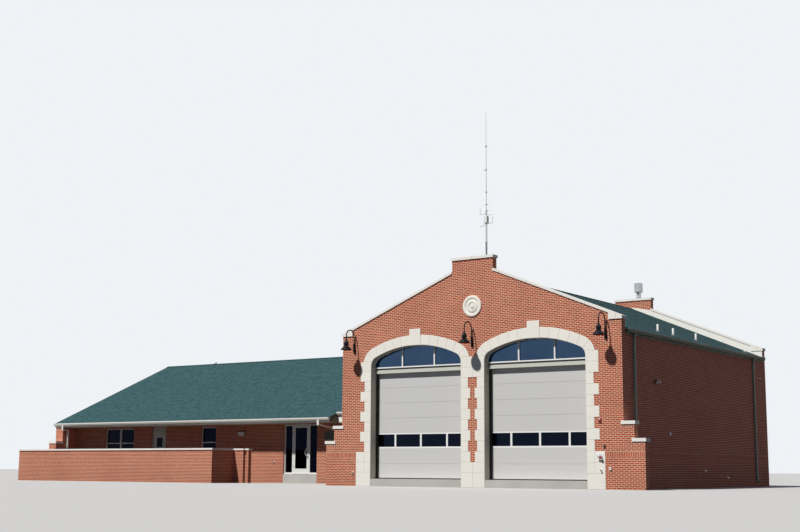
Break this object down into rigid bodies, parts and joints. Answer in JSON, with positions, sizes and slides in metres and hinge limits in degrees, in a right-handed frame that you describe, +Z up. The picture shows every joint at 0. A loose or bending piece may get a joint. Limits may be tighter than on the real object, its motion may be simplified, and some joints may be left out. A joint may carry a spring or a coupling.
{
  "type": "fire station building",
  "caption": "Single-storey fire station: gabled brick engine bay with arched stone door surrounds and a long low gabled wing with deep eaves and a patio wall.",
  "frame": {"origin": "centre of the foot of the pier between the two engine doors, on the ground", "axes": "+X along the front towards the right as seen from the street, +Y into the depth, +Z up"},
  "size_m": [36.787, 22.465, 15.08],
  "materials": {
    "brick": "orange-red brick with pale mortar, laid in running bond",
    "cast_stone": "cream cast stone with thin joints",
    "concrete": "plain trowelled concrete",
    "shingles": "dark teal green strip shingles",
    "door_paint": "light grey paint, satin",
    "white_frame": "white paint, satin",
    "dark_glass": "dark tinted glass",
    "seal_rubber": "black weather strip",
    "gutter_bronze": "olive grey paint",
    "gutter_white": "white paint",
    "lamp_black": "black gloss paint",
    "flue_steel": "bare bright metal",
    "mast_metal": "dull grey metal",
    "door_tan": "warm grey paint",
    "fitting_metal": "plain fittings in metal and paint"
  },
  "bodies": {
    "building": {"front_wall_left": "brick", "front_wall_right": "brick", "front_gable": "brick", "pier_brick_inlay": "brick", "bay_rear_wall": "brick", "bay_right_wall": "brick", "bay_left_wall": "brick", "wing_wall_west": "brick", "wing_wall_middle": "brick", "wing_wall_east": "brick", "door_lintels": "brick", "wing_rear_wall": "brick", "wing_left_wall": "brick", "wing_right_wall": "brick", "wing_end_steps": "brick", "patio_wall": "brick", "jamb_stones": "cast_stone", "pier_stones": "cast_stone", "arch_stones": "cast_stone", "keystones": "cast_stone", "medallion": "cast_stone", "front_coping": "cast_stone", "rear_coping": "cast_stone", "apex_caps": "cast_stone", "step_caps": "cast_stone", "patio_coping": "cast_stone", "bay_floor": "concrete", "wing_floor": "concrete", "bay_roof_right": "shingles", "bay_roof_left": "shingles", "wing_roof_front": "shingles", "wing_roof_rear": "shingles", "overhead_door_left": "door_paint", "overhead_door_right": "door_paint", "door_headers": "door_paint", "glazed_sections": "white_frame", "transom_frames": "white_frame", "window_frames": "white_frame", "entrance_frame": "white_frame", "service_door_frame": "white_frame", "eave_trim": "white_frame", "door_panes": "dark_glass", "transom_glass": "dark_glass", "window_glass": "dark_glass", "door_seals": "seal_rubber", "bay_gutters": "gutter_bronze", "bay_downspouts": "gutter_bronze", "wing_gutters": "gutter_white", "wing_downspouts": "gutter_white", "parapet_flashing": "gutter_white", "gooseneck_lamps": "lamp_black", "flue": "flue_steel", "roof_vents": "flue_steel", "antenna_mast": "mast_metal", "fire_inlet": "fitting_metal", "wall_fittings": "fitting_metal"},
    "entrance_leaf": {"entrance_door": "white_frame", "entrance_door_glass": "dark_glass"},
    "service_leaf": {"service_door": "door_tan", "service_door_glass": "dark_glass"}
  },
  "joints": [
    {"name": "entrance_hinge", "type": "hinge", "parent": "building", "child": "entrance_leaf", "pos_m": [-13.661, 5.58, 1.6], "axis": [0, 0, -1], "range_deg": [0, 90]},
    {"name": "service_hinge", "type": "hinge", "parent": "building", "child": "service_leaf", "pos_m": [-23.146, 5.59, 1.5], "axis": [0, 0, -1], "range_deg": [0, 90]}
  ]
}
